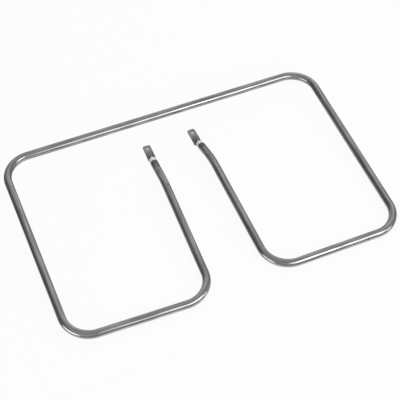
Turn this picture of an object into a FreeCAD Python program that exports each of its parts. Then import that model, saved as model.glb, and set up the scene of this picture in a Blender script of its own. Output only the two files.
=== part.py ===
import FreeCAD, Part
import math
import os

os.makedirs("parts", exist_ok=True)

# Tubular heating element: one thin steel tube bent into a flat frame whose two ends come
# back in from the front as a pair of legs. Lengths are in millimetres, angles in degrees.

# Sheath tube
tube_diameter = 6.0
tube_wall = 0.6
inside_bend_radius = 17.0

# Frame, between the centrelines of the tube
frame_width = 252.0
frame_depth = 164.0
leg_spacing = 45.2
left_leg_length = 104.6
right_leg_length = 108.5
side_rail_toe_in = 0.4
left_corner_opening = 2.0
right_leg_lean = 0.3

# Ends of the legs, bent down out of the plane of the frame
left_end_length = 25.6
right_end_length = 21.7
leg_end_bend_radius = 50.0
left_end_bend_angle = 14.0
right_end_bend_angle = 20.9

# Inside the tube
cold_length = 75.0
coil_diameter = 2.5
spigot_diameter = 1.7
spigot_length = 6.0

# White insulating beads and the sealing resin behind them
bead_collar_diameter = 5.6
bead_collar_length = 4.4
bead_shank_length = 5.0
bead_clearance = 0.05
bead_edge_radius = 0.45
seal_length = 3.0

# Terminal pins, set back towards the plane of the frame just outside the beads
pin_diameter = 2.4
pin_stub_length = 0.5
left_pin_set_back_angle = 8.0
right_pin_set_back_angle = 19.4
pin_set_back_radius = 3.0
pin_weld_length = 4.2
pin_weld_flat = 0.3
pin_end_chamfer = 0.25

# Push-on tabs, welded under the pins
tab_width = 6.3
tab_thickness = 0.8
tab_length = 16.6
tab_corner_radius = 2.0
tab_bead_gap = 0.8
tab_hole_diameter = 1.8
tab_hole_from_tip = 3.9
left_tab_askew_angle = 0.5
right_tab_askew_angle = -0.8
left_tab_offset = 0.25
right_tab_offset = -0.4

up = FreeCAD.Vector(0, 0, 1)
tube_radius = tube_diameter / 2
bore_radius = tube_radius - tube_wall
pin_radius = pin_diameter / 2
bend_radius = inside_bend_radius + tube_radius
seal_depth = bead_shank_length + seal_length


def heading(degrees):
    """Level direction, turned to the left from the X axis."""
    angle = math.radians(degrees)
    return FreeCAD.Vector(math.cos(angle), math.sin(angle), 0)


def turned_down(direction, degrees):
    """A level direction tipped below the level by an angle."""
    angle = math.radians(degrees)
    return direction * math.cos(angle) - up * math.sin(angle)


def corner_points():
    """Where the straight runs would meet, from the left tube end round to the right one."""
    toe_in = frame_depth * math.tan(math.radians(side_rail_toe_in))
    back_left = FreeCAD.Vector(-frame_width / 2, frame_depth, 0)
    back_right = FreeCAD.Vector(frame_width / 2, frame_depth, 0)
    front_left = FreeCAD.Vector(-frame_width / 2 + toe_in, 0, 0)
    front_right = FreeCAD.Vector(frame_width / 2 - toe_in, 0, 0)
    left_run = heading(-left_corner_opening)
    reach = (-leg_spacing / 2 - front_left.x) / left_run.x
    inner_left = front_left + left_run * reach
    inner_right = FreeCAD.Vector(leg_spacing / 2, 0, 0)
    left_leg = heading(90 - left_corner_opening)
    right_leg = heading(90 + right_leg_lean)
    knee_left = inner_left + left_leg * left_leg_length
    knee_right = inner_right + right_leg * right_leg_length
    end_left = knee_left + turned_down(left_leg, left_end_bend_angle) * left_end_length
    end_right = knee_right + turned_down(right_leg, right_end_bend_angle) * right_end_length
    return [end_left, knee_left, inner_left, front_left, back_left,
            back_right, front_right, inner_right, knee_right, end_right]


def bent_path(points, radii):
    """Straight runs and tangent arcs through the points, as a list of pieces."""
    pieces = []
    here = points[0]
    for before, corner, after, radius in zip(points, points[1:], points[2:], radii):
        back = (before - corner).normalize()
        ahead = (after - corner).normalize()
        turn = math.pi - back.getAngle(ahead)
        setback = radius * math.tan(turn / 2)
        arc_start = corner + back * setback
        centre = corner + (back + ahead).normalize() * (radius / math.cos(turn / 2))
        axis = ahead.cross(back).normalize()
        pieces.append({"kind": "run", "start": here, "end": arc_start,
                       "length": (arc_start - here).Length})
        pieces.append({"kind": "arc", "start": arc_start, "centre": centre, "axis": axis,
                       "turn": turn, "length": radius * turn})
        here = corner + ahead * setback
    pieces.append({"kind": "run", "start": here, "end": points[-1],
                   "length": (points[-1] - here).Length})
    return pieces


def point_on(piece, distance):
    """Point of one piece at a distance from its start."""
    share = distance / piece["length"]
    if piece["kind"] == "run":
        return piece["start"] + (piece["end"] - piece["start"]) * share
    turn = FreeCAD.Rotation(piece["axis"], math.degrees(piece["turn"] * share))
    return piece["centre"] + turn.multVec(piece["start"] - piece["centre"])


def path_length(path):
    return sum(piece["length"] for piece in path)


def stretch(path, start, end):
    """The wire between two distances along a path."""
    hair = 1e-6
    edges = []
    passed = 0
    for piece in path:
        first = max(start - passed, 0)
        last = min(end - passed, piece["length"])
        passed = passed + piece["length"]
        if last - first < hair:
            continue
        p = point_on(piece, first)
        q = point_on(piece, last)
        if piece["kind"] == "run":
            edges.append(Part.LineSegment(p, q).toShape())
        else:
            edges.append(Part.Arc(p, point_on(piece, (first + last) / 2), q).toShape())
    return Part.Wire(edges)


def rod(path, start, end, radius):
    """Round bar that follows a path between two distances."""
    wire = stretch(path, start, end)
    first_edge = wire.Edges[0]
    direction = first_edge.tangentAt(first_edge.FirstParameter)
    circle = Part.makeCircle(radius, first_edge.valueAt(first_edge.FirstParameter), direction)
    return wire.makePipe(Part.Face(Part.Wire(circle)))


def pipe(path, start, end, outer_radius, inner_radius):
    """Round tube that follows a path between two distances."""
    return rod(path, start, end, outer_radius).cut(rod(path, start, end, inner_radius))


def reversed_path(path):
    """The same path, walked from its other end."""
    turned = []
    for piece in reversed(path):
        other = dict(piece)
        other["start"] = point_on(piece, piece["length"])
        other["end"] = piece["start"]
        if piece["kind"] == "arc":
            other["axis"] = piece["axis"] * -1
        turned.append(other)
    return turned


def terminal_frame(points, set_back, askew, offset):
    """Directions at a tube end, outward and to the side, and those of the pin and its tab."""
    tube_end, knee = points[0], points[1]
    outward = (tube_end - knee).normalize()
    side = outward.cross(up).normalize()
    lift = side.cross(outward)
    angle = math.radians(set_back)
    along = outward * math.cos(angle) + lift * math.sin(angle)
    normal = lift * math.cos(angle) - outward * math.sin(angle)
    bend_start = tube_end + outward * (bead_collar_length + pin_stub_length)
    weld_start = bend_start + (outward * math.sin(angle)
                               + lift * (1 - math.cos(angle))) * pin_set_back_radius
    turn = FreeCAD.Rotation(normal, -askew)
    return {"end": tube_end, "outward": outward, "side": side, "bend_start": bend_start,
            "weld_start": weld_start, "along": along, "normal": normal, "set_back": angle,
            "tab_along": turn.multVec(along), "tab_side": turn.multVec(side),
            "tab_offset": side * offset}


def tab_corner(terminal):
    """Middle of the tab's back edge, on its upper face."""
    angle = terminal["set_back"]
    face_to_weld = pin_stub_length + pin_set_back_radius * math.sin(angle)
    back = (face_to_weld - tab_bead_gap) / math.cos(angle)
    drop = pin_radius - pin_weld_flat
    under_pin = terminal["weld_start"] - terminal["normal"] * drop
    return under_pin + terminal["tab_offset"] - terminal["tab_along"] * back


def make_tab(terminal):
    """Stamped tab: square under the pin, rounded at its tip, with a hole for a locking dimple."""
    along, side, normal = terminal["tab_along"], terminal["tab_side"], terminal["normal"]
    corner = tab_corner(terminal)
    half_width = tab_width / 2
    flank = tab_length - tab_corner_radius
    half_tip = half_width - tab_corner_radius
    middle = tab_corner_radius * math.sqrt(0.5)

    def at(forward, sideways):
        return corner + along * forward + side * sideways

    right_arc = Part.Arc(at(flank, half_width), at(flank + middle, half_tip + middle),
                         at(tab_length, half_tip))
    left_arc = Part.Arc(at(tab_length, -half_tip), at(flank + middle, -half_tip - middle),
                        at(flank, -half_width))
    outline = Part.Wire([Part.LineSegment(at(0, half_width), at(flank, half_width)).toShape(),
                         right_arc.toShape(),
                         Part.LineSegment(at(tab_length, half_tip),
                                          at(tab_length, -half_tip)).toShape(),
                         left_arc.toShape(),
                         Part.LineSegment(at(flank, -half_width), at(0, -half_width)).toShape(),
                         Part.LineSegment(at(0, -half_width), at(0, half_width)).toShape()])
    plate = Part.Face(outline).extrude(normal * -tab_thickness)
    hole_top = at(tab_length - tab_hole_from_tip, 0) + normal * tab_thickness
    hole = Part.makeCylinder(tab_hole_diameter / 2, 3 * tab_thickness, hole_top, normal * -1)
    return plate.cut(hole)


def tab_room(terminal):
    """Block under the tab's upper face, as deep as the pin and wider than the tab."""
    ahead = terminal["tab_along"] * tab_length
    across = terminal["tab_side"] * tab_width
    a = tab_corner(terminal) - across
    b = tab_corner(terminal) + across
    base = Part.Face(Part.makePolygon([a, b, b + ahead, a + ahead, a]))
    return base.extrude(terminal["normal"] * -pin_diameter)


def make_pin(inner_path, terminal):
    """Steel pin: spigot in the coil, cold stretch in the tube, set-back, flat under the weld."""
    outside_end = terminal["weld_start"] + terminal["along"] * pin_weld_length
    corner = terminal["bend_start"] + terminal["outward"] * (
        pin_set_back_radius * math.tan(terminal["set_back"] / 2))
    outer_path = bent_path([outside_end, corner, terminal["end"]], [pin_set_back_radius])
    pin = rod(outer_path, 0, path_length(outer_path), pin_radius)
    tip_edge = max(pin.Edges, key=lambda edge: edge.CenterOfMass.dot(terminal["along"]))
    pin = pin.makeChamfer(pin_end_chamfer, [tip_edge])
    pin = pin.fuse(rod(inner_path, 0, cold_length - spigot_length, pin_radius))
    pin = pin.fuse(rod(inner_path, cold_length - spigot_length, cold_length,
                       spigot_diameter / 2))
    return pin.cut(tab_room(terminal)).removeSplitter()


def make_bead(inner_path, terminal):
    """Ceramic bead: a collar against the tube's end and a shank inside it."""
    collar = Part.makeCylinder(bead_collar_diameter / 2, bead_collar_length,
                               terminal["end"], terminal["outward"])
    rim = max(collar.Edges, key=lambda edge: edge.CenterOfMass.dot(terminal["outward"]))
    collar = collar.makeFillet(bead_edge_radius, [rim])
    shank = rod(inner_path, 0, bead_shank_length, bore_radius - bead_clearance)
    bore = rod(inner_path, 0, bead_shank_length, pin_radius + bead_clearance)
    bore_outside = Part.makeCylinder(pin_radius + bead_clearance, bead_collar_length,
                                     terminal["end"], terminal["outward"])
    return collar.fuse(shank).cut(bore).cut(bore_outside).removeSplitter()


def resting_tilt(terminals):
    """Angle at which the element lies on a table: on its front runs and its lowest end."""
    tilts = []
    for terminal in terminals:
        under = tab_corner(terminal) - terminal["normal"] * tab_thickness
        tab_tip = under + terminal["tab_along"] * tab_length
        tube_foot = terminal["end"] - terminal["side"].cross(terminal["outward"]) * tube_radius
        for foot in (tab_tip, tube_foot):
            reach = math.hypot(foot.y, foot.z)
            tilts.append(math.atan2(-foot.z, foot.y) - math.asin(tube_radius / reach))
    return math.degrees(max(tilts))


corners = corner_points()
frame_radii = [bend_radius] * (len(corners) - 4)
centreline = bent_path(corners, [leg_end_bend_radius] + frame_radii + [leg_end_bend_radius])
total_length = path_length(centreline)
left_terminal = terminal_frame(corners, left_pin_set_back_angle,
                               left_tab_askew_angle, left_tab_offset)
right_terminal = terminal_frame(corners[::-1], right_pin_set_back_angle,
                                right_tab_askew_angle, right_tab_offset)

pieces = {}
pieces["sheath_tube"] = pipe(centreline, 0, total_length, tube_radius, bore_radius)

coil_start = cold_length - spigot_length
coil_end = total_length - coil_start
coil = rod(centreline, coil_start, coil_end, coil_diameter / 2)
powder = rod(centreline, seal_depth, total_length - seal_depth, bore_radius)
powder = powder.cut(rod(centreline, seal_depth, coil_start, pin_radius))
powder = powder.cut(rod(centreline, coil_end, total_length - seal_depth, pin_radius))
powder = powder.cut(coil)
pieces["insulating_powder"] = powder
for first, last in ((coil_start, cold_length), (total_length - cold_length, coil_end)):
    coil = coil.cut(rod(centreline, first, last, spigot_diameter / 2))
pieces["resistance_coil"] = coil

for side, path, terminal in (("left", centreline, left_terminal),
                             ("right", reversed_path(centreline), right_terminal)):
    pieces["terminal_pin_" + side] = make_pin(path, terminal)
    pieces["end_seal_" + side] = pipe(path, bead_shank_length, seal_depth, bore_radius, pin_radius)
    pieces["insulating_bead_" + side] = make_bead(path, terminal)
    pieces["terminal_tab_" + side] = make_tab(terminal)

# The finished element is laid on a table, with the middle of its box over the origin.
tilt = resting_tilt([left_terminal, right_terminal])
for shape in pieces.values():
    shape.rotate(FreeCAD.Vector(0, 0, 0), FreeCAD.Vector(1, 0, 0), tilt)
box = Part.Compound(list(pieces.values())).optimalBoundingBox(False)
to_table = FreeCAD.Vector(-box.Center.x, -box.Center.y, -box.ZMin)
for name, shape in pieces.items():
    shape.translate(to_table)
    shape.exportStep("parts/" + name + ".step")
    print(name, "volume", round(shape.Volume, 1), "solids", len(shape.Solids))
print("tube length", round(total_length, 1), "resting tilt", round(tilt, 2))
print("box", round(box.XLength, 1), round(box.YLength, 1), round(box.ZLength, 1))
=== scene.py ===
import math

import bpy
import numpy as np
from mathutils import Matrix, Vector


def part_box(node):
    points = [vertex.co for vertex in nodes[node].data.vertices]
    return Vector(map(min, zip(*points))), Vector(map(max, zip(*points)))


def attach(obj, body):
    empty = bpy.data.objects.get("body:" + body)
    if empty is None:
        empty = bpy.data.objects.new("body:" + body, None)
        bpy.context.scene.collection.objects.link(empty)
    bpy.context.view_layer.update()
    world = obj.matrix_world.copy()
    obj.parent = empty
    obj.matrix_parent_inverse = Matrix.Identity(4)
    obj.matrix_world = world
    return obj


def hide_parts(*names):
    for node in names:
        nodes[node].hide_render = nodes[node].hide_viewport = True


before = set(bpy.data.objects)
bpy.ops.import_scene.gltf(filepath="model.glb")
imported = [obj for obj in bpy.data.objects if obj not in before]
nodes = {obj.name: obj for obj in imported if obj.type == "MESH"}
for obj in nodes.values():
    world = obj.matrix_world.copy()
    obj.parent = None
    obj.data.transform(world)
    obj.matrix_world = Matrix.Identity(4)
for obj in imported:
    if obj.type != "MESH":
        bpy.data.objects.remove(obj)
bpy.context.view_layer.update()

# A tubular heating element that lies on a pale studio floor. Lengths are in metres and
# angles in degrees. +X is right along the back rail, +Y towards the back rail, +Z up.

mm = 0.001
print("frame loaded:", len(nodes), "nodes")


# Shapes: a profile carried along a path of straight runs and arcs

def unit(vector):
    return vector / np.linalg.norm(vector, axis=-1, keepdims=True)


def levelHeading(degrees):
    # direction in the plane of the frame, turned left from +X
    return np.array([math.cos(math.radians(degrees)), math.sin(math.radians(degrees)), 0.0])


def bentPath(corners, radii):
    # Each arc starts radius * tan(half its turn) before its corner and ends as far past it.
    spans = []
    here = corners[0]
    passed = 0.0

    def addSpan(start, heading, length, centre=None, radius=0.0):
        spans.append({"from": passed, "to": passed + length, "start": start,
                      "heading": heading, "centre": centre, "radius": radius})
        return passed + length

    for before, corner, after, radius in zip(corners, corners[1:], corners[2:], radii):
        back, ahead = unit(before - corner), unit(after - corner)
        turn = math.pi - math.acos(float(back @ ahead))
        setBack = radius * math.tan(turn / 2)
        arcStart = corner + back * setBack
        centre = corner + unit(back + ahead) * radius / math.cos(turn / 2)
        passed = addSpan(here, -back, float(np.linalg.norm(arcStart - here)))
        passed = addSpan(arcStart, -back, radius * turn, centre, radius)
        here = corner + ahead * setBack
    passed = addSpan(here, unit(corners[-1] - here), float(np.linalg.norm(corners[-1] - here)))
    return spans


def walk(path, distance):
    # Point and direction at each distance. On a run: start + heading * d. On an arc of
    # radius r, with o the radius to its start: centre + o * cos(d/r) + heading * r * sin(d/r).
    points = np.zeros((len(distance), 3))
    headings = np.zeros((len(distance), 3))
    for span in path:
        inside = (distance >= span["from"]) & (distance <= span["to"])
        if span is path[0]:
            inside |= distance < span["from"]
        if span is path[-1]:
            inside |= distance > span["to"]
        ahead = (distance[inside] - span["from"])[:, None]
        if span["centre"] is None:
            points[inside] = span["start"] + ahead * span["heading"]
            headings[inside] = span["heading"]
        else:
            angle = ahead / span["radius"]
            out = span["start"] - span["centre"]
            points[inside] = (span["centre"] + out * np.cos(angle)
                              + span["heading"] * span["radius"] * np.sin(angle))
            headings[inside] = span["heading"] * np.cos(angle) - unit(out) * np.sin(angle)
    return points, headings


def stations(path, runStep, arcStep, first, last):
    # Distances along a path, closer together on its arcs, between two distances. Those
    # within a twentieth of a step of either end are left out.
    found = [np.array([first])]
    for span in path:
        step = runStep if span["centre"] is None else arcStep
        count = max(1, math.ceil((span["to"] - span["from"]) / step))
        found.append(np.linspace(span["from"], span["to"], count + 1))
    found = np.unique(np.round(np.concatenate(found), 7))
    found = found[(found > first + runStep / 20) & (found < last - runStep / 20)]
    return np.concatenate([[first], found, [last]])


def quarter(steps):
    # cosine and sine of an angle that goes from 0 to 90 degrees
    angle = np.linspace(0, math.pi / 2, steps)
    return np.cos(angle), np.sin(angle)


def sweep(path, distance, radius, sides, planeNormal):
    # Rings about a path: centre + radius * (cos(a) * side + sin(a) * top), where side lies in
    # the plane of the frame. Also gives each point's place on the bar as if it were straight.
    centre, heading = walk(path, distance)
    side = unit(np.cross(planeNormal, heading))
    top = np.cross(heading, side)
    angle = np.linspace(0, 2 * math.pi, sides, endpoint=False)
    cosine, sine = np.cos(angle)[None, :, None], np.sin(angle)[None, :, None]
    offset = radius[:, None, None] * (cosine * side[:, None] + sine * top[:, None])
    straight = np.stack([np.broadcast_to(distance[:, None], (len(distance), sides)),
                         radius[:, None] * np.cos(angle), radius[:, None] * np.sin(angle)], axis=-1)
    return centre[:, None] + offset, straight


def gridMesh(name, grid, along, closed, poles=None):
    # A grid of rows and columns becomes quads: columns always close, rows close on request,
    # and each pole is one point with a fan of triangles to the first or the last row.
    rows, columns = grid.shape[:2]
    index = np.arange(rows * columns).reshape(rows, columns)
    here = index if closed else index[:-1]
    ahead = np.roll(index, -1, axis=0) if closed else index[1:]
    quads = np.stack([here, np.roll(here, -1, axis=1), np.roll(ahead, -1, axis=1), ahead], axis=-1)
    faces = quads.reshape(-1, 4).tolist()
    points = grid.reshape(-1, 3)
    places = along.reshape(-1, 3)
    if poles is not None:
        poleStart, poleEnd = len(points), len(points) + 1
        first, last = index[0], index[-1]
        startFan = np.stack([np.full(columns, poleStart), np.roll(first, -1), first], axis=-1)
        endFan = np.stack([np.full(columns, poleEnd), last, np.roll(last, -1)], axis=-1)
        faces += startFan.tolist() + endFan.tolist()
        points = np.concatenate([points, poles])
        places = np.concatenate([places, along[0].mean(0)[None], along[-1].mean(0)[None]])
    mesh = bpy.data.meshes.new(name)
    mesh.from_pydata(points.tolist(), [], faces)
    mesh.polygons.foreach_set("use_smooth", np.ones(len(faces), bool))
    # "along" is the point's place on the bar or blank as if it were laid out straight
    attribute = mesh.attributes.new("along", "FLOAT_VECTOR", "POINT")
    attribute.data.foreach_set("vector", places.astype(np.float32).ravel())
    mesh.update()
    piece = bpy.data.objects.new(name, mesh)
    bpy.context.collection.objects.link(piece)
    return piece


def finishPiece(piece, node, material):
    piece.data.materials.append(material)
    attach(piece, "root")
    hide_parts(node)
    print("made", piece.name, "with", len(piece.data.polygons), "faces")


# The bent line of the tube, from its left end round to its right end

element = {
    "tubeRadius": 3.0 * mm, "wall": 0.6 * mm, "insideBendRadius": 17.0 * mm,
    "width": 252.0 * mm, "depth": 164.0 * mm, "legSpacing": 45.2 * mm,
    "sideRailToeIn": 0.4, "leftCornerOpening": 2.0, "rightLegLean": 0.3,
    "leftLegLength": 104.6 * mm, "rightLegLength": 108.5 * mm,
    "leftEndLength": 25.6 * mm, "rightEndLength": 21.7 * mm, "legEndBendRadius": 50.0 * mm,
    "leftEndAngle": 14.0, "rightEndAngle": 20.9, "lineStep": 0.1 * mm,
}


def elementCorners():
    # where the straight runs would meet, in the flat frame: ends, knees, front and back corners
    e = element
    toeIn = e["depth"] * math.tan(math.radians(e["sideRailToeIn"]))
    backLeft = np.array([-e["width"] / 2, e["depth"], 0])
    backRight = np.array([e["width"] / 2, e["depth"], 0])
    frontLeft = np.array([-e["width"] / 2 + toeIn, 0, 0])
    frontRight = np.array([e["width"] / 2 - toeIn, 0, 0])
    leftRun = levelHeading(-e["leftCornerOpening"])
    innerLeft = frontLeft + leftRun * (-e["legSpacing"] / 2 - frontLeft[0]) / leftRun[0]
    innerRight = np.array([e["legSpacing"] / 2, 0, 0])
    corners = [frontLeft, backLeft, backRight, frontRight]
    for side, inner, leg in (("left", innerLeft, levelHeading(90 - e["leftCornerOpening"])),
                             ("right", innerRight, levelHeading(90 + e["rightLegLean"]))):
        knee = inner + leg * e[side + "LegLength"]
        drop = math.radians(e[side + "EndAngle"])
        down = leg * math.cos(drop) - np.array([0, 0, math.sin(drop)])
        tail = [inner, knee, knee + down * e[side + "EndLength"]]
        corners = tail[::-1] + corners if side == "left" else corners + tail
    return np.array(corners)


flatCorners = elementCorners()
bendRadius = element["insideBendRadius"] + element["tubeRadius"]
bendRadii = [element["legEndBendRadius"]] + [bendRadius] * 6 + [element["legEndBendRadius"]]

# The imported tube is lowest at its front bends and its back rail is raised, so its box gives
# the tilt of the frame and its place.
flatPath = bentPath(flatCorners, bendRadii)
flatLine = walk(flatPath, np.arange(0, flatPath[-1]["to"], element["lineStep"]))[0]
foremost = flatLine[:, 1].min()
sheathLow, sheathHigh = (np.array(corner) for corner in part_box("sheath_tube"))
across = sheathHigh - sheathLow - 2 * element["tubeRadius"]
restTilt = math.atan2(across[2], across[1])
tiltTurn = np.array([[1, 0, 0],
                     [0, math.cos(restTilt), -math.sin(restTilt)],
                     [0, math.sin(restTilt), math.cos(restTilt)]])
frontPoint = tiltTurn @ np.array([0, foremost, 0])
toPlace = np.array([(sheathLow[0] + sheathHigh[0]) / 2,
                    sheathLow[1] + element["tubeRadius"] - frontPoint[1],
                    sheathLow[2] + element["tubeRadius"] - frontPoint[2]])
planeNormal = tiltTurn @ np.array([0, 0, 1.0])
corners = flatCorners @ tiltTurn.T + toPlace
tubePath = bentPath(corners, bendRadii)
tubeLength = tubePath[-1]["to"]
print("tube line: length", round(tubeLength, 4), "tilt", round(math.degrees(restTilt), 3),
      "place", np.round(toPlace, 6))


# Materials

def linearColour(hexColour):
    # sRGB hex to linear RGBA
    values = np.array([int(hexColour[i:i + 2], 16) for i in (1, 3, 5)]) / 255
    linear = np.where(values <= 0.04045, values / 12.92, ((values + 0.055) / 1.055) ** 2.4)
    return (*linear, 1.0)


def addNode(tree, kind, inputs=None, **settings):
    # adds a node, gives it its settings, and sets or links its inputs
    node = tree.nodes.new("ShaderNode" + kind)
    for key, value in settings.items():
        setattr(node, key, value)
    for key, value in (inputs or {}).items():
        if isinstance(value, bpy.types.NodeSocket):
            tree.links.new(value, node.inputs[key])
        else:
            node.inputs[key].default_value = value
    return node


def newMaterial(name):
    material = bpy.data.materials.new(name)
    material.use_nodes = True
    material.node_tree.nodes.clear()
    return material, material.node_tree


def finishMaterial(tree, shader):
    addNode(tree, "OutputMaterial", {"Surface": shader.outputs[0]})


# nearly all values of a noise texture lie between these
noiseLow, noiseHigh = 0.3, 0.7


sheathFinish = {
    "steel": "#B9B8B8", "darkSteel": "#898787",
    "roughness": 0.05, "roughnessSpread": 0.06,
    "streakLength": 40 * mm, "streakWidth": 0.5 * mm, "streakHeight": 0.0012 * mm,
    # soft light and dark bands along the tube, and the slight waves that bending rolls leave
    "bandLength": 16 * mm, "bandWidth": 1.1 * mm, "bandShare": 0.65, "bandContrast": (0.4, 0.62),
    "waveLength": 9 * mm, "waveHeight": 0.03 * mm,
    # scale left by welding heat, darkest at the cut ends and gone by scaleReach. It is laid on the
    # upper side only: scaleAndTopShadeHeights are above the tube's middle, so the top is darker
    # than the flanks, which is painted shade.
    "scale": "#67635F", "scaleShare": 0.8, "scaleReach": 58 * mm, "scaleGrain": 1.6 * mm,
    "scaleAndTopShadeHeights": (0.0, 1.6 * mm), "scaleRoughness": 0.36, "scaleThresholds": (0.46, 0.68),
    # a speck is full where its noise is this far past the threshold
    "speckEdge": 0.1,
    # heat rings round each end: distance from the end in mm and share of the scale's colour
    "ringReach": 12 * mm,
    "rings": {0.0: 0.85, 4.6: 0.8, 5.6: 0.3, 6.6: 0.7, 7.4: 0.25, 8.4: 0.45, 9.6: 0.0},
}
# scuffs and nicks: distance along the tube, angle round it from the frame's plane, length
# along, length round and strength
scuffs = [
    {"distance": 799 * mm, "angle": 28, "size": (0.8 * mm, 1.9 * mm), "strength": 0.95},
]


def scuffMask(tree, along, scuff):
    # 1 at the middle of a scuff and 0 past its edge, on the tube as if laid out straight
    angle = math.radians(scuff["angle"])
    radius = element["tubeRadius"]
    length, breadth = scuff["size"]
    centre = (scuff["distance"], radius * math.cos(angle), radius * math.sin(angle))
    size = (length, breadth, breadth)
    placed = addNode(tree, "Mapping", {
        "Vector": along, "Location": tuple(-c / s for c, s in zip(centre, size)),
        "Scale": tuple(1 / s for s in size)})
    away = addNode(tree, "VectorMath", {0: placed.outputs[0]}, operation="LENGTH")
    mask = addNode(tree, "MapRange", {"Value": away.outputs["Value"], "From Min": 1.0,
                                      "From Max": 0.3, "To Max": scuff["strength"]},
                   interpolation_type="SMOOTHSTEP")
    return mask.outputs[0]


def drawnStainless():
    # Bright drawn stainless steel tube: pulled through a die, so its polish lines run along
    # it and draw highlights out into lengthwise streaks. Welding heat has left dark rings at
    # the cut ends and specks of scale that thin out along the legs. These are laid on the upper
    # side only, so the top is darker than the flanks there, which is painted shade.
    f = sheathFinish
    material, tree = newMaterial("drawnStainlessTube")
    along = addNode(tree, "Attribute", attribute_name="along").outputs["Vector"]
    # real polish lines are under 0.1 mm, so they are drawn as wide as the render can show
    stretched = addNode(tree, "Mapping", {
        "Vector": along,
        "Scale": (1 / f["streakLength"], 1 / f["streakWidth"], 1 / f["streakWidth"])})
    streak = addNode(tree, "TexNoise", {"Vector": stretched.outputs[0], "Scale": 1.0,
                                        "Detail": 4.0, "Roughness": 0.6})
    broad = addNode(tree, "Mapping", {
        "Vector": along, "Scale": (1 / f["bandLength"], 1 / f["bandWidth"], 1 / f["bandWidth"])})
    band = addNode(tree, "TexNoise", {"Vector": broad.outputs[0], "Scale": 1.0, "Detail": 2.0})
    shade = addNode(tree, "Mix", {"Factor": f["bandShare"], 2: streak.outputs["Fac"],
                                  3: band.outputs["Fac"]})
    contrast = addNode(tree, "MapRange", {"Value": shade.outputs[0],
                                          "From Min": f["bandContrast"][0],
                                          "From Max": f["bandContrast"][1]})
    steel = addNode(tree, "Mix", {"Factor": contrast.outputs[0], 6: linearColour(f["steel"]),
                                  7: linearColour(f["darkSteel"])}, data_type="RGBA")
    place = addNode(tree, "SeparateXYZ", {0: along})
    position = place.outputs["X"]
    fromRight = addNode(tree, "Math", {0: tubeLength, 1: position}, operation="SUBTRACT")
    fromEnd = addNode(tree, "Math", {0: position, 1: fromRight.outputs[0]},
                      operation="MINIMUM").outputs[0]
    ringPlace = addNode(tree, "Math", {0: fromEnd, 1: f["ringReach"]}, operation="DIVIDE")
    rings = addNode(tree, "ValToRGB", {0: ringPlace.outputs[0]})
    stops = rings.color_ramp.elements
    while len(stops) < len(f["rings"]):
        stops.new(1.0)
    for stop, (distance, share) in zip(stops, f["rings"].items()):
        stop.position = distance * mm / f["ringReach"]
        stop.color = (share, share, share, 1.0)
    # specks: noise past a threshold that rises with the distance from the end
    specks = addNode(tree, "TexNoise", {"Vector": along, "Scale": 1 / f["scaleGrain"],
                                        "Detail": 3.0, "Roughness": 0.6})
    threshold = addNode(tree, "MapRange", {"Value": fromEnd, "From Max": f["scaleReach"],
                                           "To Min": f["scaleThresholds"][0],
                                           "To Max": f["scaleThresholds"][1]})
    over = addNode(tree, "Math", {0: specks.outputs["Fac"], 1: threshold.outputs[0]},
                   operation="SUBTRACT")
    speckMask = addNode(tree, "MapRange", {"Value": over.outputs[0],
                                           "From Max": f["speckEdge"],
                                           "To Max": f["scaleShare"]})
    scale = addNode(tree, "Math", {0: rings.outputs[0], 1: speckMask.outputs[0]},
                    operation="MAXIMUM")
    # the scale's colour goes on the upper side only: the top darker than the flanks is painted
    # shade
    paintedTopShade = addNode(tree, "MapRange", {"Value": place.outputs["Z"],
                                       "From Min": f["scaleAndTopShadeHeights"][0],
                                       "From Max": f["scaleAndTopShadeHeights"][1]})
    dark = addNode(tree, "Math", {0: scale.outputs[0], 1: paintedTopShade.outputs[0]},
                   operation="MULTIPLY").outputs[0]
    for scuff in scuffs:
        dark = addNode(tree, "Math", {0: dark, 1: scuffMask(tree, along, scuff)},
                       operation="MAXIMUM").outputs[0]
    scaled = addNode(tree, "Mix", {"Factor": dark, 6: steel.outputs[2],
                                   7: linearColour(f["scale"])}, data_type="RGBA")
    polish = addNode(tree, "MapRange", {
        "Value": streak.outputs["Fac"], "From Min": noiseLow, "From Max": noiseHigh,
        "To Min": f["roughness"], "To Max": f["roughness"] + f["roughnessSpread"]})
    roughness = addNode(tree, "Math", {0: dark, 1: f["scaleRoughness"], 2: polish.outputs[0]},
                        operation="MULTIPLY_ADD")
    wave = addNode(tree, "TexNoise", {"Vector": along, "Scale": 1 / f["waveLength"],
                                      "Detail": 1.0})
    rolled = addNode(tree, "Bump", {"Distance": f["waveHeight"], "Height": wave.outputs["Fac"]})
    bump = addNode(tree, "Bump", {"Distance": f["streakHeight"], "Height": streak.outputs["Fac"],
                                  "Normal": rolled.outputs[0]})
    shader = addNode(tree, "BsdfPrincipled", {
        "Base Color": scaled.outputs[2], "Metallic": 1.0, "Roughness": roughness.outputs[0],
        "Normal": bump.outputs[0]})
    finishMaterial(tree, shader)
    return material


# rolling or drawing lines are finer in reality, and are drawn this wide so that they show
formedFinish = {"pin": "#A2A1A1", "pinRoughness": 0.3, "tab": "#B0AFAE", "tabRoughness": 0.32,
                "lineLength": 3.03 * mm, "lineWidth": 0.4 * mm, "lineHeight": 0.004 * mm,
                "roughnessSpread": 0.08, "lineShade": 0.8}
# the dark part's edge wanders by patchReach either way, in patches of about this size
tabBackDarkening = {"colour": "#605D5B", "share": 0.85, "from": 5.0 * mm, "to": 11.0 * mm,
            "patch": 1.8 * mm, "patchReach": 3.0 * mm}


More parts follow.
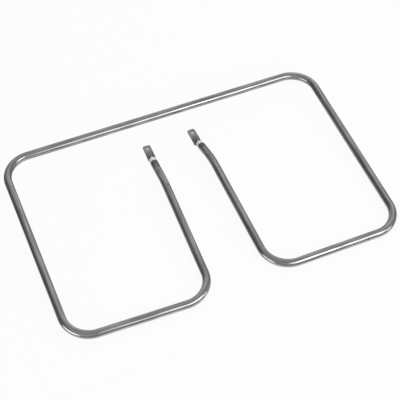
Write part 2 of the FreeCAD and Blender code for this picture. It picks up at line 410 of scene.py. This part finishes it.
def formedSteel(name, colour, roughness, darkBack=False):
    # Stamped or drawn steel with fine rolling lines. A tab is darker over its back part, by
    # the pin and the bead, in patches that fade towards its tip.
    f = formedFinish
    material, tree = newMaterial(name)
    along = addNode(tree, "Attribute", attribute_name="along").outputs["Vector"]
    stretched = addNode(tree, "Mapping", {
        "Vector": along,
        "Scale": (1 / f["lineLength"], 1 / f["lineWidth"], 1 / f["lineWidth"])})
    grain = addNode(tree, "TexNoise", {"Vector": stretched.outputs[0], "Scale": 1.0, "Detail": 4.0})
    value = addNode(tree, "MapRange", {"Value": grain.outputs["Fac"],
                                       "To Min": roughness - f["roughnessSpread"],
                                       "To Max": roughness + f["roughnessSpread"]})
    bump = addNode(tree, "Bump", {"Distance": f["lineHeight"], "Height": grain.outputs["Fac"]})
    shader = addNode(tree, "BsdfPrincipled", {
        "Metallic": 1.0, "Roughness": value.outputs[0], "Normal": bump.outputs[0]})
    bright = linearColour(colour)
    shaded = tuple(channel * f["lineShade"] for channel in bright[:3]) + (1.0,)
    worn = addNode(tree, "Mix", {"Factor": grain.outputs["Fac"], 6: bright, 7: shaded},
                   data_type="RGBA")
    finish = worn
    if darkBack:
        w = tabBackDarkening
        # darker towards the tab's back, by the pin and the bead, in patches
        position = addNode(tree, "SeparateXYZ", {0: along}).outputs["X"]
        patches = addNode(tree, "TexNoise", {"Vector": along, "Scale": 1 / w["patch"],
                                             "Detail": 3.0, "Roughness": 0.55})
        spread = addNode(tree, "MapRange", {
            "Value": patches.outputs["Fac"], "From Min": noiseLow, "From Max": noiseHigh,
            "To Min": -w["patchReach"], "To Max": w["patchReach"]})
        shifted = addNode(tree, "Math", {0: position, 1: spread.outputs[0]})
        darkening = addNode(tree, "MapRange", {"Value": shifted.outputs[0], "From Min": w["to"],
                                          "From Max": w["from"], "To Max": w["share"]})
        finish = addNode(tree, "Mix", {"Factor": darkening.outputs[0], 6: worn.outputs[2],
                                       7: linearColour(w["colour"])}, data_type="RGBA")
    tree.links.new(finish.outputs[2], shader.inputs["Base Color"])
    finishMaterial(tree, shader)
    return material


ceramicFinish = {"white": "#FAFAF9", "shade": "#EEEEEC", "grain": 0.5 * mm,
                 "grainHeight": 0.01 * mm, "roughness": 0.42, "ior": 1.6}


def firedCeramic():
    # White steatite: pressed powder, fired, so it is chalk white with a satin sheen
    f = ceramicFinish
    material, tree = newMaterial("firedSteatite")
    along = addNode(tree, "Attribute", attribute_name="along").outputs["Vector"]
    grain = addNode(tree, "TexNoise", {"Vector": along, "Scale": 1 / f["grain"], "Detail": 3.0})
    colour = addNode(tree, "Mix", {"Factor": grain.outputs["Fac"], 6: linearColour(f["white"]),
                                   7: linearColour(f["shade"])}, data_type="RGBA")
    bump = addNode(tree, "Bump", {"Distance": f["grainHeight"], "Height": grain.outputs["Fac"]})
    shader = addNode(tree, "BsdfPrincipled", {
        "Base Color": colour.outputs[2], "Roughness": f["roughness"], "IOR": f["ior"],
        "Normal": bump.outputs[0]})
    finishMaterial(tree, shader)
    return material


insideFinish = {
    "magnesia": {"colours": ("#EDEAE2", "#DCD8CC"), "grain": 0.15 * mm, "roughness": 0.9,
                 "height": 0.02 * mm},
    "resin": {"colours": ("#CBB892", "#B7A178"), "grain": 0.3 * mm, "roughness": 0.35,
              "height": 0.01 * mm},
    # a wave pattern repeats after waveRepeat, 2 * pi / 20, times the scale's reciprocal
    "wire": {"metal": "#8F8A84", "gap": "#4A4744", "pitch": 0.7 * mm, "height": 0.15 * mm,
             "roughness": 0.4, "waveRepeat": 0.314},
}


def grainedSolid(name, colours, grain, roughness, height):
    # A cast or pressed solid: two close colours and small pits, both from one noise
    material, tree = newMaterial(name)
    place = addNode(tree, "TexCoord").outputs["Object"]
    noise = addNode(tree, "TexNoise", {"Vector": place, "Scale": 1 / grain, "Detail": 3.0})
    colour = addNode(tree, "Mix", {"Factor": noise.outputs["Fac"], 6: linearColour(colours[0]),
                                   7: linearColour(colours[1])}, data_type="RGBA")
    bump = addNode(tree, "Bump", {"Distance": height, "Height": noise.outputs["Fac"]})
    shader = addNode(tree, "BsdfPrincipled", {
        "Base Color": colour.outputs[2], "Roughness": roughness, "Normal": bump.outputs[0]})
    finishMaterial(tree, shader)
    return material


def woundWire(wire):
    # Close turns of drawn nickel-chromium wire, dull from its first heating. The turns are
    # drawn as slanting ribs, twice as far apart as real ones so that they show.
    material, tree = newMaterial("nickelChromiumWire")
    place = addNode(tree, "TexCoord").outputs["Object"]
    turns = addNode(tree, "TexWave", {"Vector": place,
                                      "Scale": wire["waveRepeat"] / wire["pitch"]},
                    bands_direction="DIAGONAL")
    colour = addNode(tree, "Mix", {"Factor": turns.outputs["Fac"], 6: linearColour(wire["gap"]),
                                   7: linearColour(wire["metal"])}, data_type="RGBA")
    bump = addNode(tree, "Bump", {"Distance": wire["height"], "Height": turns.outputs["Fac"]})
    shader = addNode(tree, "BsdfPrincipled", {
        "Base Color": colour.outputs[2], "Metallic": 1.0, "Roughness": wire["roughness"],
        "Normal": bump.outputs[0]})
    finishMaterial(tree, shader)
    return material


def finishInside():
    # the solids inside the tube keep their shape and get their finish
    magnesia = grainedSolid("compactedMagnesia", **insideFinish["magnesia"])
    resin = grainedSolid("curedSiliconeResin", **insideFinish["resin"])
    wire = woundWire(insideFinish["wire"])
    for node, material in (("insulating_powder", magnesia), ("resistance_coil", wire),
                           ("end_seal_left", resin), ("end_seal_right", resin)):
        nodes[node].material_slots[0].material = material


tubeSteel = drawnStainless()
pinSteel = formedSteel("drawnSteelPin", formedFinish["pin"], formedFinish["pinRoughness"])
tabSteel = formedSteel("nickelPlatedStampedSteel", formedFinish["tab"],
                       formedFinish["tabRoughness"], darkBack=True)
beadCeramic = firedCeramic()
finishInside()
print("materials made")


# Sheath tube: a closed loop of distances and radii, out along the outside and back along
# the bore, so the walls and both cut ends are one surface

sheath = {"sides": 48, "runStep": 4.0 * mm, "arcStep": 1.2 * mm, "boreStep": 4.0 * mm,
          "rim": 0.15 * mm, "rimSteps": 5}


def makeSheath():
    outer = element["tubeRadius"]
    bore = outer - element["wall"]
    rim = sheath["rim"]
    cosine, sine = quarter(sheath["rimSteps"])
    outside = stations(tubePath, sheath["runStep"], sheath["arcStep"], rim, tubeLength - rim)
    within = stations(tubePath, sheath["boreStep"], sheath["boreStep"], rim, tubeLength - rim)
    distance = [outside, tubeLength - rim + rim * sine[1:],
                tubeLength - rim + rim * cosine, within[::-1][1:],
                rim - rim * sine[1:], rim - rim * cosine[:-1]]
    radius = [np.full(len(outside), outer), outer - rim + rim * cosine[1:],
              bore + rim - rim * sine, np.full(len(within) - 1, bore),
              bore + rim - rim * cosine[1:], outer - rim + rim * sine[:-1]]
    grid, along = sweep(tubePath, np.concatenate(distance), np.concatenate(radius),
                        sheath["sides"], planeNormal)
    return gridMesh("sheathTube", grid, along, closed=True)


finishPiece(makeSheath(), "sheath_tube", tubeSteel)


# Terminals: directions at each tube end, as the pin and its tab are set on it

terminal = {
    "beadRadius": 2.8 * mm, "collarLength": 4.4 * mm, "shankLength": 5.0 * mm,
    "beadClearance": 0.05 * mm, "beadEdge": 0.45 * mm, "beadBackEdge": 0.1 * mm,
    # two rings this close make a square step
    "beadStep": 0.0001 * mm, "pinStep": 0.001 * mm,
    "beadSides": 48, "beadEdgeSteps": 6, "pinSides": 32,
    "pinRadius": 1.2 * mm, "pinStub": 0.5 * mm, "pinBendRadius": 3.0 * mm,
    "pinWeldLength": 4.2 * mm, "pinWeldFlat": 0.3 * mm, "pinEndChamfer": 0.25 * mm,
    "pinWeldRing": 0.15 * mm, "pinRunStep": 4.0 * mm, "pinArcStep": 1.5 * mm,
    "coldLength": 75.0 * mm, "spigotRadius": 0.85 * mm, "spigotLength": 6.0 * mm,
    "leftSetBack": 8.0, "rightSetBack": 19.4, "leftAskew": 0.5, "rightAskew": -0.8,
    "leftOffset": 0.25 * mm, "rightOffset": -0.4 * mm,
}
tab = {"width": 6.3 * mm, "thickness": 0.8 * mm, "length": 16.6 * mm, "tipRadius": 2.0 * mm,
       "backRadius": 0.15 * mm, "beadGap": 0.8 * mm, "holeRadius": 0.9 * mm,
       "holeFromTip": 3.9 * mm, "rollover": 0.14 * mm, "burr": 0.04 * mm,
       "holeRim": 0.06 * mm, "leadIn": 1.0 * mm, "leadInDepth": 0.18 * mm,
       # steps of the two corner arcs, of the edge's section and across each face
       "tipSteps": 14, "backSteps": 4, "edgeSteps": 5, "edgeStep": 0.7 * mm,
       "faceShares": (0.2, 0.4, 0.58, 0.74, 0.88)}


def terminalFrame(side):
    ends = corners if side == "left" else corners[::-1]
    t = terminal
    angle = math.radians(t[side + "SetBack"])
    askew = math.radians(t[side + "Askew"])
    outward = unit(ends[0] - ends[1])
    across = unit(np.cross(outward, planeNormal))
    lift = np.cross(across, outward)
    along = outward * math.cos(angle) + lift * math.sin(angle)
    normal = lift * math.cos(angle) - outward * math.sin(angle)
    bendStart = ends[0] + outward * (t["collarLength"] + t["pinStub"])
    weldStart = bendStart + t["pinBendRadius"] * (outward * math.sin(angle)
                                                  + lift * (1 - math.cos(angle)))
    tabAlong = along * math.cos(askew) + across * math.sin(askew)
    tabAcross = across * math.cos(askew) - along * math.sin(askew)
    back = (t["pinStub"] + t["pinBendRadius"] * math.sin(angle) - tab["beadGap"]) / math.cos(angle)
    tabCorner = (weldStart + across * t[side + "Offset"] - tabAlong * back
                 - normal * (t["pinRadius"] - t["pinWeldFlat"]))
    return {"ends": ends, "outward": outward, "lift": lift, "along": along, "normal": normal,
            "bendStart": bendStart, "weldStart": weldStart, "angle": angle,
            "tabAlong": tabAlong, "tabAcross": tabAcross, "tabCorner": tabCorner}


def makeBead(side, place):
    # a loop of distances and radii about the tube's axis: shank, collar, face and bore
    t = terminal
    shank = element["tubeRadius"] - element["wall"] - t["beadClearance"]
    bore = t["pinRadius"] + t["beadClearance"]
    edge, small, backEdge = t["beadEdge"], t["beadEdge"] / 3, t["beadBackEdge"]
    cosine, sine = quarter(t["beadEdgeSteps"])
    distance = np.concatenate([
        np.linspace(-t["shankLength"], 0, 6)[:-1], [-t["beadStep"]],
        [0.0], [backEdge], np.linspace(3 * backEdge, t["collarLength"] - edge, 4)[:-1],
        t["collarLength"] - edge + edge * sine,
        t["collarLength"] - small + small * cosine,
        np.linspace(t["collarLength"] - small, -t["shankLength"], 8)[1:]])
    radius = np.concatenate([
        np.full(5, shank), [shank],
        [t["beadRadius"] - backEdge], [t["beadRadius"]], np.full(3, t["beadRadius"]),
        t["beadRadius"] - edge + edge * cosine,
        bore + small - small * sine,
        np.full(7, bore)])
    line = bentPath(np.array([place["ends"][0] - place["outward"] * t["shankLength"],
                              place["ends"][0] + place["outward"] * t["collarLength"]]), [])
    grid, along = sweep(line, distance + t["shankLength"], radius, t["beadSides"],
                        place["lift"])
    return gridMesh("insulatingBead" + side.title(), grid, along, closed=True)


def makePin(side, place):
    # round bar from the weld through the bead and along the leg, flattened onto the tab
    t = terminal
    outsideEnd = place["weldStart"] + place["along"] * t["pinWeldLength"]
    bendCorner = place["bendStart"] + place["outward"] * (
        t["pinBendRadius"] * math.tan(place["angle"] / 2))
    points = np.array([outsideEnd, bendCorner, place["ends"][1], place["ends"][2]])
    path = bentPath(points, [t["pinBendRadius"], element["legEndBendRadius"]])
    outsideLength = t["collarLength"] + t["pinStub"] + t["pinBendRadius"] * place["angle"]
    tubeMouth = outsideLength + t["pinWeldLength"]
    shoulder = tubeMouth + t["coldLength"] - t["spigotLength"]
    innerEnd = tubeMouth + t["coldLength"]
    chamfer = t["pinEndChamfer"]
    fine = np.arange(chamfer, tubeMouth, t["pinWeldRing"])
    coarse = stations(path, t["pinRunStep"], t["pinArcStep"], tubeMouth, shoulder)
    distance = np.concatenate([[0.0], fine, coarse, [shoulder + t["pinStep"], innerEnd]])
    radius = np.concatenate([[t["pinRadius"] - chamfer],
                             np.full(len(fine) + len(coarse), t["pinRadius"]),
                             [t["spigotRadius"], t["spigotRadius"]]])
    grid, along = sweep(path, distance, radius, t["pinSides"], place["lift"])
    # what would lie below the tab's upper face is pressed flat onto it
    fromTab = grid - place["tabCorner"]
    height = fromTab @ place["normal"]
    ahead = fromTab @ place["tabAlong"]
    pressed = (height < 0) & (ahead > 0)
    grid = np.where(pressed[..., None], grid - height[..., None] * place["normal"], grid)
    poles = walk(path, np.array([0.0, innerEnd]))[0]
    return gridMesh("terminalPin" + side.title(), grid, along, closed=False, poles=poles)


def tabOutline():
    # anticlockwise from the back left corner: square back, straight flanks, rounded tip.
    # Each corner is an arc about its own centre, and each point comes with its outward normal.
    half = tab["width"] / 2
    back, tip, length = tab["backRadius"], tab["tipRadius"], tab["length"]
    centres = [(-half, 0, back, 180), (half, 0, back, 270), (half, length, tip, 0),
               (-half, length, tip, 90)]
    points, normals = [], []
    for x, y, radius, firstAngle in centres:
        steps = tab["tipSteps"] if radius == tip else tab["backSteps"]
        angle = np.radians(np.linspace(firstAngle, firstAngle + 90, steps))
        normal = np.stack([np.cos(angle), np.sin(angle)], axis=-1)
        centre = np.array([x - math.copysign(radius, x), y + (radius if y == 0 else -radius)])
        points.append(centre + radius * normal)
        normals.append(normal)
    outline, outlineNormals = [], []
    for here, there, normal in zip(points, points[1:] + points[:1], normals):
        gap = np.linalg.norm(there[0] - here[-1])
        extra = max(1, round(gap / tab["edgeStep"]))
        share = np.linspace(0, 1, extra + 1)[1:-1][:, None]
        outline += [here, here[-1] + (there[0] - here[-1]) * share]
        outlineNormals += [normal, np.repeat(normal[-1:], len(share), axis=0)]
    return np.concatenate(outline), np.concatenate(outlineNormals)


def makeTab(side, place):
    # Rows go once round the section of the plate: hole wall, upper face, edge, lower face.
    # Each column is a ray from the hole to the outline: hole + (outline - hole) * share.
    outline, normals = tabOutline()
    hole = np.array([0, tab["length"] - tab["holeFromTip"]])
    toOutline = unit(outline - hole)
    thick, roll, burr, rimSize = (tab[key] for key in ("thickness", "rollover", "burr",
                                                       "holeRim"))
    cosine, sine = quarter(tab["edgeSteps"])
    rows = []

    def holeRow(radius, height):
        rows.append((hole + toOutline * radius, height))

    def edgeRow(inset, height):
        rows.append((outline - normals * inset, height))

    def faceRows(height, shares):
        inner = hole + toOutline * (tab["holeRadius"] + rimSize)
        outer = outline - normals * roll
        for share in shares:
            rows.append((inner + (outer - inner) * share, height))

    shares = tab["faceShares"]
    for c, s in zip(cosine, sine):
        holeRow(tab["holeRadius"] + rimSize * (1 - c), -rimSize + rimSize * s)
    faceRows(0.0, shares)
    for c, s in zip(cosine, sine):
        edgeRow(roll * (1 - s), -roll + roll * c)
    for c, s in zip(cosine, sine):
        edgeRow(burr * (1 - c), -thick + burr - burr * s)
    faceRows(-thick, shares[::-1])
    for c, s in zip(cosine, sine):
        holeRow(tab["holeRadius"] + rimSize * (1 - s), -thick + rimSize - rimSize * c)
    flat = np.stack([row for row, height in rows])
    height = np.array([height for row, height in rows])[:, None] * np.ones(len(outline))
    # the tip is pressed thinner on both faces, as a lead-in for the receptacle
    nearTip = np.clip((flat[..., 1] - (tab["length"] - tab["leadIn"])) / tab["leadIn"], 0, 1)
    height = height * (1 - nearTip * 2 * tab["leadInDepth"] / thick) - nearTip * tab["leadInDepth"]
    grid = (place["tabCorner"] + flat[..., :1] * place["tabAcross"]
            + flat[..., 1:] * place["tabAlong"] + height[..., None] * place["normal"])
    along = np.stack([flat[..., 1], flat[..., 0], height], axis=-1)
    return gridMesh("terminalTab" + side.title(), grid, along, closed=True)


for side in ("left", "right"):
    place = terminalFrame(side)
    finishPiece(makeBead(side, place), "insulating_bead_" + side, beadCeramic)
    finishPiece(makePin(side, place), "terminal_pin_" + side, pinSteel)
    finishPiece(makeTab(side, place), "terminal_tab_" + side, tabSteel)


# Camera, placed by the corners of the photograph's frame

view = {"place": (-0.173879, -0.463237, 0.595990), "target": (0.001564, 0.001312, 0.0),
        "roll": -2.1247, "lens": 94.2864, "shiftX": -0.00125, "shiftY": 0.00125}


def makeCamera():
    camera = bpy.data.objects.new("camera", bpy.data.cameras.new("camera"))
    bpy.context.collection.objects.link(camera)
    camera.data.lens = view["lens"]
    camera.data.sensor_width = 36.0
    camera.data.shift_x = view["shiftX"]
    camera.data.shift_y = view["shiftY"]
    camera.data.clip_start = 0.01
    back = unit(np.array(view["place"]) - np.array(view["target"]))
    right = unit(np.cross(-back, [0, 0, 1.0]))
    up = np.cross(back, right)
    roll = math.radians(view["roll"])
    rolledRight = math.cos(roll) * right + math.sin(roll) * up
    rolledUp = -math.sin(roll) * right + math.cos(roll) * up
    matrix = np.identity(4)
    matrix[:3, 0], matrix[:3, 1], matrix[:3, 2] = rolledRight, rolledUp, back
    matrix[:3, 3] = view["place"]
    camera.matrix_world = Matrix(matrix.tolist())
    bpy.context.scene.camera = camera


makeCamera()
print("camera set")


# Studio: a white card under the element on a grey table, four soft boxes and a graded room

studio = {
    "cardSize": (0.300, 0.230), "cardLevel": 0.45, "cardPaintedGlow": (0.8, 0.45),
    # the painted glow fades between these, 1 minus the sine of the angle above the board: 0.8
    # is 12 degrees and 0.25 is 49 degrees
    "paintedGlowFading": (0.80, 0.25),
    "tableSize": (12.0, 12.0), "tableDrop": 0.5 * mm, "tableLevel": 0.16,
    "floorRoughness": 0.35, "floorSheen": 0.9, "whiteShare": 0.93, "shadowLevel": 0.88,
    # grey of the room at compass angles, clockwise from the back, and at the top, which it
    # reaches between these sines of the elevation
    "roomLevels": {-180: 0.54, -150: 0.56, -112: 0.44, -90: 0.34, -67: 0.17, -58: 0.16,
                   -37: 0.28, -22: 0.53, 7: 0.68, 45: 0.80, 60: 0.58, 82: 0.36, 97: 0.42,
                   112: 0.50, 150: 0.40},
    "topLevel": 0.51, "topHeights": (0.77, 0.95),
}


def seenDirectly(tree, lightPath):
    # 1 for what the camera sees, straight or through glass
    return addNode(tree, "Math", {0: lightPath.outputs["Is Camera Ray"],
                                  1: lightPath.outputs["Is Transmission Ray"]},
                   operation="MAXIMUM").outputs[0]


def makeFloor(name, width, depth, height, level, glow=(0.0, 0.0)):
    # A smooth board. To the camera it is white with the element's soft shadow in it. The steel
    # mirrors its own grey and a painted glow, white light that only mirror rays see, which fades
    # at a shallow angle and falls off from its front edge to its middle.
    mesh = bpy.data.meshes.new(name)
    x, y = width / 2, depth / 2
    mesh.from_pydata([(-x, -y, height), (x, -y, height), (x, y, height), (-x, y, height)],
                     [], [(0, 1, 2, 3)])
    material, tree = newMaterial("matt" + name.title())
    shadow = studio["shadowLevel"]
    matt = addNode(tree, "BsdfPrincipled", {"Base Color": (level, level, level, 1.0),
                                            "Roughness": studio["floorRoughness"],
                                            "Specular IOR Level": studio["floorSheen"]})
    shallow = addNode(tree, "LayerWeight", {"Blend": 0.5}).outputs["Facing"]
    fading = addNode(tree, "MapRange", {"Value": shallow, "From Min": studio["paintedGlowFading"][0],
                                        "From Max": studio["paintedGlowFading"][1]},
                     interpolation_type="SMOOTHSTEP")
    ahead = addNode(tree, "SeparateXYZ", {0: addNode(tree, "TexCoord").outputs["Object"]})
    falloff = addNode(tree, "MapRange", {"Value": ahead.outputs["Y"], "From Min": -y,
                                         "From Max": 0.0, "To Min": glow[0], "To Max": glow[1]})
    strength = addNode(tree, "Math", {0: fading.outputs[0], 1: falloff.outputs[0]},
                       operation="MULTIPLY")
    # painted glow: the board shines in the steel's reflections though it is no lamp
    within = addNode(tree, "Emission", {"Color": (1.0, 1.0, 1.0, 1.0),
                                        "Strength": strength.outputs[0]})
    mirrored = addNode(tree, "AddShader", {0: matt.outputs[0], 1: within.outputs[0]})
    shadowed = addNode(tree, "BsdfDiffuse", {"Color": (shadow, shadow, shadow, 1.0)})
    bright = addNode(tree, "Emission", {"Color": (1.0, 1.0, 1.0, 1.0), "Strength": 1.0})
    white = addNode(tree, "MixShader", {0: studio["whiteShare"], 1: shadowed.outputs[0],
                                        2: bright.outputs[0]})
    lightPath = addNode(tree, "LightPath")
    unlit = addNode(tree, "MixShader", {0: lightPath.outputs["Is Glossy Ray"],
                                        1: matt.outputs[0], 2: mirrored.outputs[0]})
    seen = addNode(tree, "MixShader", {0: seenDirectly(tree, lightPath),
                                       1: unlit.outputs[0], 2: white.outputs[0]})
    finishMaterial(tree, seen)
    mesh.materials.append(material)
    floor = bpy.data.objects.new(name, mesh)
    bpy.context.collection.objects.link(floor)


makeFloor("card", *studio["cardSize"], 0.0, studio["cardLevel"], studio["cardPaintedGlow"])
makeFloor("table", *studio["tableSize"], -studio["tableDrop"], studio["tableLevel"])


def softBox(name, compass, elevation, distance, width, height, brightness, upright=False,
            roll=0.0, leftFade=None, rightFade=None, mirrored=True):
    # An area lamp that faces the element, or stands upright, and is then turned by its roll,
    # which lifts its left edge. Its power is brightness * pi * area. A fade is its share of
    # light at that edge and the share of its width over which that grows to 1. One that
    # isn't mirrored lights matt surfaces alone, as a far bigger and paler ceiling would.
    a, b = math.radians(compass), math.radians(elevation)
    out = np.array([math.sin(a) * math.cos(b), math.cos(a) * math.cos(b), math.sin(b)])
    lamp = bpy.data.lights.new(name, "AREA")
    lamp.shape = "RECTANGLE"
    lamp.size = width
    lamp.size_y = height
    lamp.energy = brightness * math.pi * width * height
    if leftFade or rightFade:
        lamp.use_nodes = True
        tree = lamp.node_tree
        tree.nodes.clear()
        spot = addNode(tree, "SeparateXYZ", {0: addNode(tree, "NewGeometry").outputs["Parametric"]})
        shares = []
        for (share, reach), edge, inward in ((leftFade or (1.0, 1.0), 0.0, 1.0),
                                             (rightFade or (1.0, 1.0), 1.0, -1.0)):
            shares.append(addNode(tree, "MapRange", {
                "Value": spot.outputs["X"], "From Min": edge, "From Max": edge + inward * reach,
                "To Min": share}).outputs[0])
        both = addNode(tree, "Math", {0: shares[0], 1: shares[1]}, operation="MULTIPLY")
        glow = addNode(tree, "Emission", {"Strength": both.outputs[0]})
        addNode(tree, "OutputLight", {"Surface": glow.outputs[0]})
    box = bpy.data.objects.new(name, lamp)
    bpy.context.collection.objects.link(box)
    back = unit(out * [1, 1, 0]) if upright else out
    right = unit(np.cross(-out, [0, 0, 1.0]))
    up = np.cross(back, right)
    lean = math.radians(roll)
    matrix = np.identity(4)
    matrix[:3, 0] = right * math.cos(lean) - up * math.sin(lean)
    matrix[:3, 1] = up * math.cos(lean) + right * math.sin(lean)
    matrix[:3, 2] = back
    matrix[:3, 3] = out * distance
    box.matrix_world = Matrix(matrix.tolist())
    box.visible_glossy = mirrored


# a wide box upright in front that fades to its left, a small one low on the right, a low one
# far on the left and a pale one above the back
softBox("frontBox", compass=156, elevation=42, distance=0.68, width=0.62, height=0.54,
        brightness=2.7, upright=True, roll=13, leftFade=(0.2, 0.48), rightFade=(0.2, 0.22))
softBox("cornerBox", compass=126, elevation=7, distance=0.58, width=0.17, height=0.26,
        brightness=1.7, leftFade=(0.2, 0.3), rightFade=(0.2, 0.3))
softBox("farLeftBox", compass=-108, elevation=4, distance=0.9, width=0.76, height=0.44,
        brightness=2.6, leftFade=(0.4, 0.2), rightFade=(0.25, 0.25))
softBox("overheadBox", compass=35, elevation=55, distance=1.0, width=0.50, height=0.50,
        brightness=2.2, mirrored=False)


def makeWorld():
    # The room that the steel mirrors: grey that changes with the compass direction, and one
    # level overhead. The camera itself sees white.
    world = bpy.data.worlds.new("room")
    bpy.context.scene.world = world
    world.use_nodes = True
    tree = world.node_tree
    tree.nodes.clear()
    direction = addNode(tree, "TexCoord").outputs["Generated"]
    # the radial gradient is 0.5 at +X and grows towards +Y
    compass = addNode(tree, "TexGradient", {"Vector": direction}, gradient_type="RADIAL")
    ramp = addNode(tree, "ValToRGB", {0: compass.outputs["Fac"]})
    greys = sorted(((0.5 + (90 - degrees) / 360) % 1.0, grey)
                   for degrees, grey in studio["roomLevels"].items())
    first, last = greys[0], greys[-1]
    gap = first[0] + 1 - last[0]
    wrap = last[1] + (first[1] - last[1]) * (1 - last[0]) / gap
    greys = [(0.0, wrap)] + greys + [(1.0, wrap)]
    stops = ramp.color_ramp.elements
    while len(stops) < len(greys):
        stops.new(0.5)
    for stop, (spot, grey) in zip(stops, greys):
        stop.position = spot
    # each new place sorts the stops again, so the greys follow when all are placed
    for stop, (spot, grey) in zip(stops, greys):
        stop.color = (grey, grey, grey, 1.0)
    height = addNode(tree, "SeparateXYZ", {0: direction}).outputs["Z"]
    overhead = addNode(tree, "MapRange", {"Value": height, "From Min": studio["topHeights"][0],
                                          "From Max": studio["topHeights"][1]},
                       interpolation_type="SMOOTHSTEP")
    top = studio["topLevel"]
    room = addNode(tree, "Mix", {"Factor": overhead.outputs[0], 6: ramp.outputs[0],
                                 7: (top, top, top, 1.0)}, data_type="RGBA")
    lightPath = addNode(tree, "LightPath")
    seen = addNode(tree, "Mix", {"Factor": seenDirectly(tree, lightPath),
                                 6: room.outputs[2], 7: (1.0, 1.0, 1.0, 1.0)}, data_type="RGBA")
    background = addNode(tree, "Background", {"Color": seen.outputs[2]})
    addNode(tree, "OutputWorld", {"Surface": background.outputs[0]})


makeWorld()
bpy.context.scene.view_settings.view_transform = "Standard"
print("studio set")
